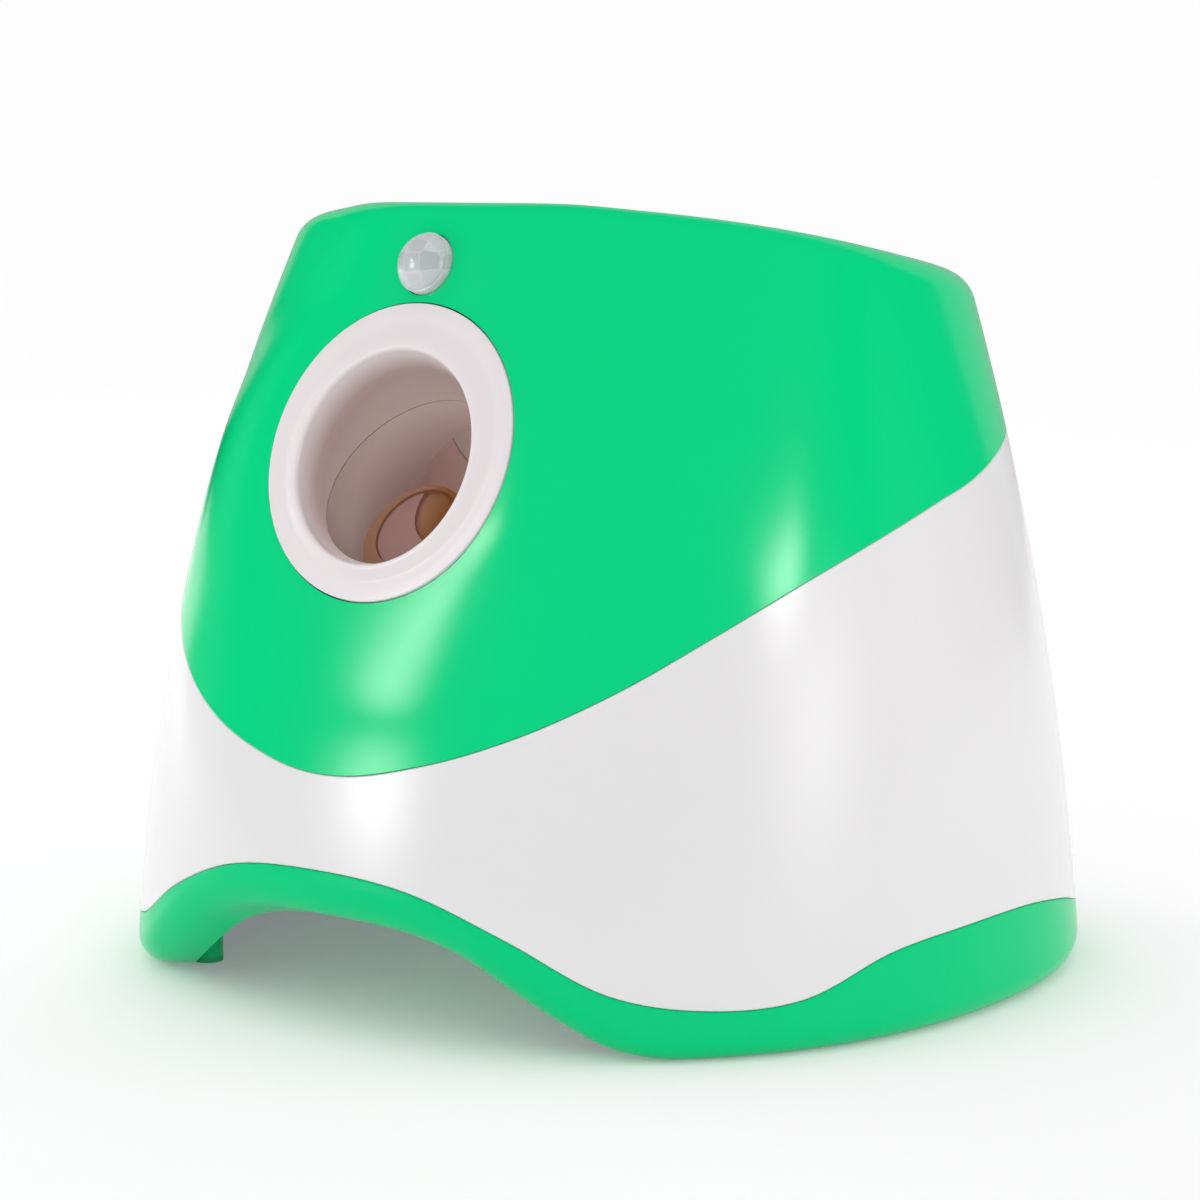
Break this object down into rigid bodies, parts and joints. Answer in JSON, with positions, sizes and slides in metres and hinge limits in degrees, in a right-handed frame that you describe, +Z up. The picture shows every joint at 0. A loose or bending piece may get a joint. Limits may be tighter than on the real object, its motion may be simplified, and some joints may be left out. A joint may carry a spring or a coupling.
{
  "type": "automatic dog ball launcher",
  "caption": "Pet ball launcher: round housing with a slanted hopper, a tilted front muzzle, a spring striker drawn by a geared motor, a motion sensor and a rear panel.",
  "frame": {"origin": "on the floor under the middle of the round foot", "axes": "+Z up, the muzzle faces -Y, +X is the launcher's left seen from behind it; YZ is the plane of symmetry of the housing"},
  "size_m": [0.2706, 0.2672, 0.2208],
  "materials": {
    "green_shell": "glossy moulded plastic",
    "white_shell": "glossy moulded plastic",
    "orange_plastic": "satin moulded plastic",
    "soft_white": "soft matt pad",
    "milky_lens": "milky translucent polythene",
    "spring_steel": "bright drawn wire and strip",
    "nylon_gear": "natural nylon",
    "brass_gear": "cut brass",
    "steel_shaft": "turned and plated steel",
    "grey_plastic": "matt moulded plastic",
    "black_plastic": "matt moulded plastic",
    "circuit_board": "solder resist on glass fibre",
    "connector_plastic": "matt nylon",
    "amber_light": "clear tinted resin",
    "cell_jacket": "plain printed jacket",
    "wire_cover": "matt flexible cover"
  },
  "bodies": {
    "housing": {"hood": "green_shell", "body_shell": "white_shell", "base_trim": "green_shell", "base_plate": "green_shell", "foot_pads": "green_shell", "housing_screws": "steel_shaft", "muzzle_ring": "white_shell", "launch_barrel": "white_shell", "barrel_end_cap": "white_shell", "drive_spring": "spring_steel", "hopper": "white_shell", "feed_sensors": "black_plastic", "sector_axle": "steel_shaft", "second_axle": "steel_shaft", "first_axle": "steel_shaft", "gearbox_left_plate": "grey_plastic", "gearbox_right_plate": "grey_plastic", "gearbox_screws": "steel_shaft", "drive_motor": "steel_shaft", "limit_switch": "black_plastic", "sensor_lens": "milky_lens", "sensor_board": "circuit_board", "sensor_can": "steel_shaft", "control_panel": "white_shell", "button_board": "circuit_board", "button_switches": "black_plastic", "indicator_lights": "amber_light", "dc_jack": "black_plastic", "battery_box": "grey_plastic", "battery_cells": "cell_jacket", "battery_contacts": "spring_steel", "battery_door_pin": "steel_shaft", "battery_door_screw": "steel_shaft", "main_board": "circuit_board", "board_chips": "black_plastic", "board_connectors": "connector_plastic", "buzzer": "black_plastic", "motor_lead": "wire_cover", "sensor_lead": "wire_cover", "battery_lead": "wire_cover"},
    "striker": {"striker": "orange_plastic", "striker_pad": "soft_white"},
    "sector": {"sector_gear": "nylon_gear"},
    "second": {"second_gear": "nylon_gear"},
    "first": {"first_gear": "nylon_gear"},
    "pinion": {"motor_pinion": "brass_gear", "motor_shaft": "steel_shaft"},
    "power_button": {"power_button": "green_shell"},
    "mode_button": {"mode_button": "green_shell"},
    "battery_door": {"battery_door": "grey_plastic"}
  },
  "joints": [
    {"name": "sector_turn", "type": "hinge", "parent": "housing", "child": "sector", "pos_m": [0, -0.05953, 0.05893], "axis": [-1, 0, 0], "range_deg": [0, 150]},
    {"name": "striker_slide", "type": "slide", "parent": "housing", "child": "striker", "axis": [0, 0.766, -0.6428], "range_m": [0, 0.0567], "deforming": ["drive_spring"]},
    {"name": "second_turn", "type": "hinge", "parent": "housing", "child": "second", "pos_m": [0, -0.07644, 0.07034], "axis": [-1, 0, 0], "range_deg": [-489, 0]},
    {"name": "first_turn", "type": "hinge", "parent": "housing", "child": "first", "pos_m": [0, -0.09432, 0.07237], "axis": [-1, 0, 0], "range_deg": [0, 1952]},
    {"name": "pinion_turn", "type": "hinge", "parent": "housing", "child": "pinion", "pos_m": [0, -0.0998, 0.05734], "axis": [-1, 0, 0], "range_deg": [-8452, 0]},
    {"name": "power_press", "type": "slide", "parent": "housing", "child": "power_button", "axis": [0, -0.9848, -0.1736], "range_m": [0, 0.0015], "stiffness_N_per_m": 400},
    {"name": "mode_press", "type": "slide", "parent": "housing", "child": "mode_button", "axis": [0, -0.9848, -0.1736], "range_m": [0, 0.0015], "stiffness_N_per_m": 400},
    {"name": "battery_door_hinge", "type": "hinge", "parent": "housing", "child": "battery_door", "pos_m": [0, 0.037, 0.0172], "axis": [-1, 0, 0], "range_deg": [0, 100]}
  ],
  "couplings": [
    {"joint": "striker_slide", "follows": "sector_turn", "m_per_rad": 0.0216},
    {"joint": "second_turn", "follows": "sector_turn", "ratio": -3.25},
    {"joint": "first_turn", "follows": "sector_turn", "ratio": 13},
    {"joint": "pinion_turn", "follows": "sector_turn", "ratio": -56.333}
  ]
}
